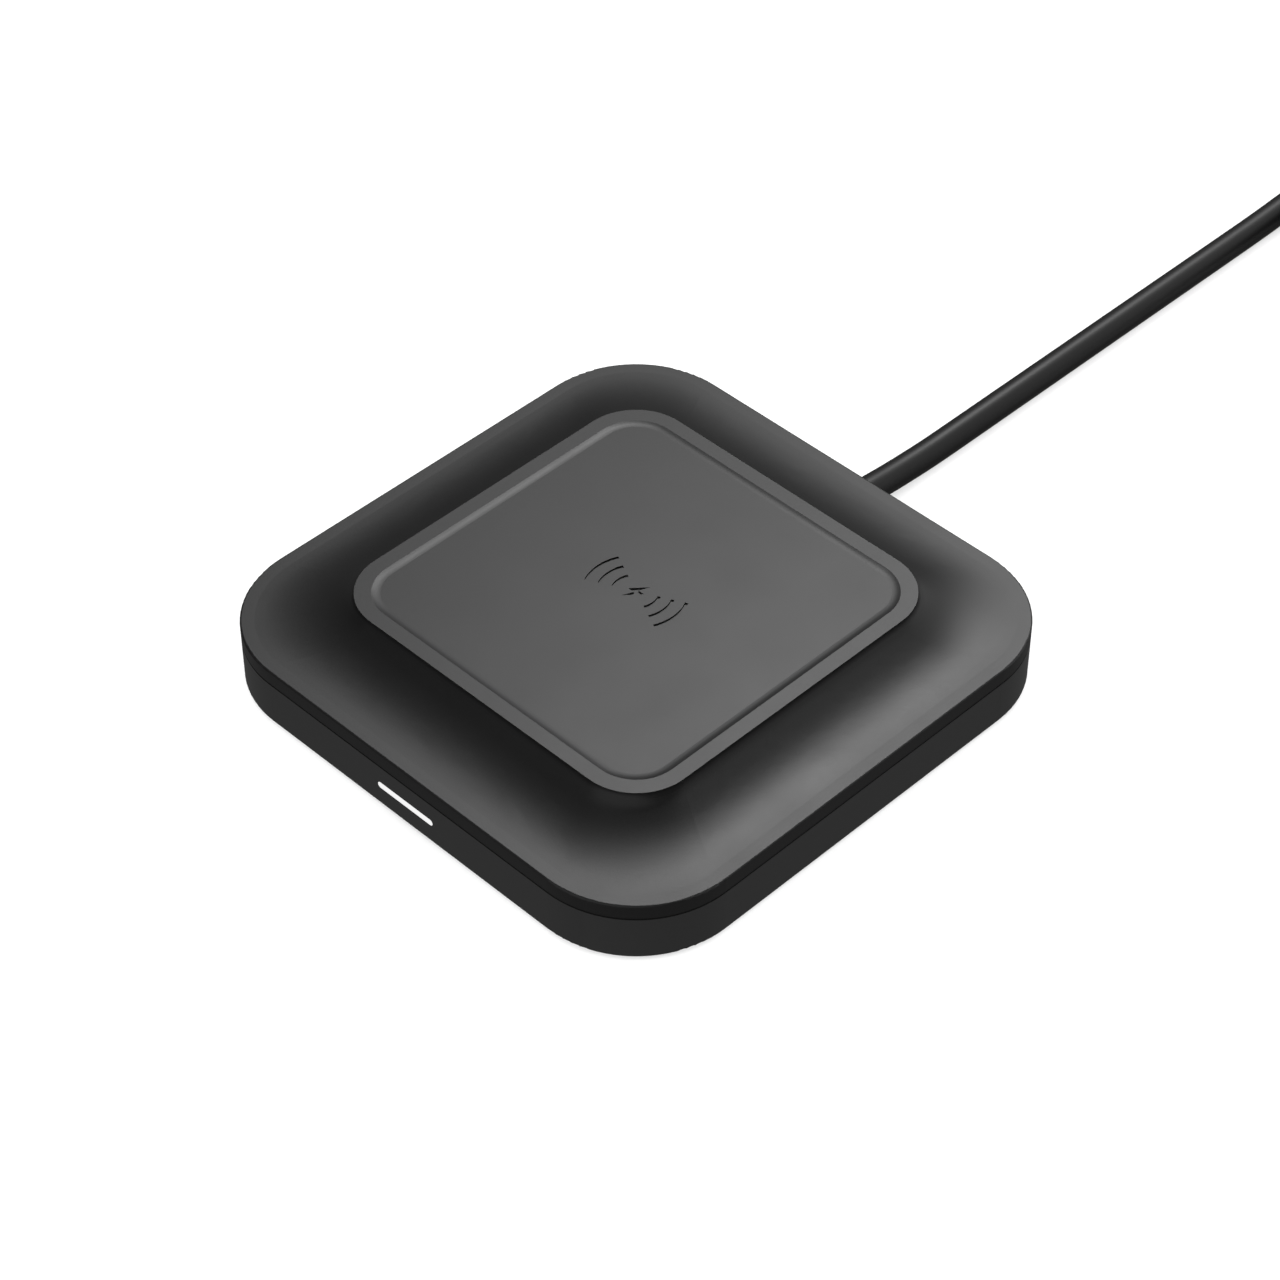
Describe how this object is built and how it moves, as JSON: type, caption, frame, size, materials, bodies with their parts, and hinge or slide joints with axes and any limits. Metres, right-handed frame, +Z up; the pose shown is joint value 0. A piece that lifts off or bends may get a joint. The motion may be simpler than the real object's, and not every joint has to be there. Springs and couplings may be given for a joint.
{
  "type": "wireless charging pad",
  "caption": "Rounded-square wireless charging pad with a raised lipped platform, a concave moat to the rim, a front status light and a captive cord.",
  "frame": {"origin": "middle of the footprint, on the surface that the pad stands on", "axes": "+Z up through the charging face, -Y towards the wall with the status light, +Y towards the wall that the cord leaves"},
  "size_m": [0.1258, 0.2616, 0.0153],
  "materials": {
    "cover": "fine matte texture, soft-touch black",
    "friction_pad": "matte black silicone, fine grain",
    "lower_housing": "satin black moulded plastic",
    "foot_rubber": "matte black rubber",
    "adhesive": "double-sided tape",
    "screw_steel": "zinc-plated screws",
    "litz_copper": "enamelled copper litz wire",
    "ferrite": "dark grey sintered ferrite",
    "inner_plastic": "black moulded plastic",
    "glass_bead": "epoxy-dipped bead",
    "board_green": "green solder mask",
    "chip_black": "moulded epoxy packages",
    "inductor_core": "moulded powder core",
    "capacitor_body": "tan ceramic bodies",
    "crystal_can": "nickel-plated can",
    "led_body": "white packages with phosphor",
    "foam_black": "closed-cell foam",
    "light_white": "milky translucent light guide, lit white",
    "ballast_steel": "plain steel sheet",
    "insulation_film": "grey insulating paper",
    "cord_jacket": "satin black cord jacket",
    "wire_red": "insulated core",
    "wire_black": "insulated core",
    "wire_white": "insulated core",
    "wire_green": "insulated core",
    "tie_strap": "black hook-and-loop strap",
    "plug_plastic": "matte black moulded grip",
    "plug_steel": "nickel-plated shell",
    "plug_insulator": "white insulator",
    "contact_gold": "gold-plated contacts"
  },
  "bodies": {
    "root": {"top_cover": "cover", "charging_surface": "friction_pad", "lower_shell": "lower_housing", "rubber_foot": "foot_rubber", "foot_adhesive": "adhesive", "case_screws": "screw_steel", "tx_coil": "litz_copper", "coil_leads": "litz_copper", "coil_adhesive": "adhesive", "ferrite_plate": "ferrite", "coil_carrier": "inner_plastic", "tray_screws": "screw_steel", "thermistor": "glass_bead", "main_board": "board_green", "board_screws": "screw_steel", "controller_chip": "chip_black", "bridge_chips": "chip_black", "power_inductor": "inductor_core", "resonant_capacitors": "capacitor_body", "input_capacitors": "capacitor_body", "crystal": "crystal_can", "small_passives": "chip_black", "status_leds": "led_body", "led_shade": "foam_black", "light_guide": "light_white", "ballast_plate": "ballast_steel", "ballast_tape": "adhesive", "insulation_sheet": "insulation_film", "strain_relief": "cord_jacket", "cord_stub": "cord_jacket", "cord_clamp": "inner_plastic", "clamp_screws": "screw_steel", "cord_wire_red": "wire_red", "cord_wire_black": "wire_black", "cord_wire_white": "wire_white", "cord_wire_green": "wire_green", "cord_lead": "cord_jacket", "cord_coil": "cord_jacket", "cord_tail": "cord_jacket", "cord_tie": "tie_strap", "plug_overmould": "plug_plastic", "plug_shell": "plug_steel", "plug_tongue": "plug_insulator", "plug_contacts": "contact_gold"}
  },
  "joints": []
}
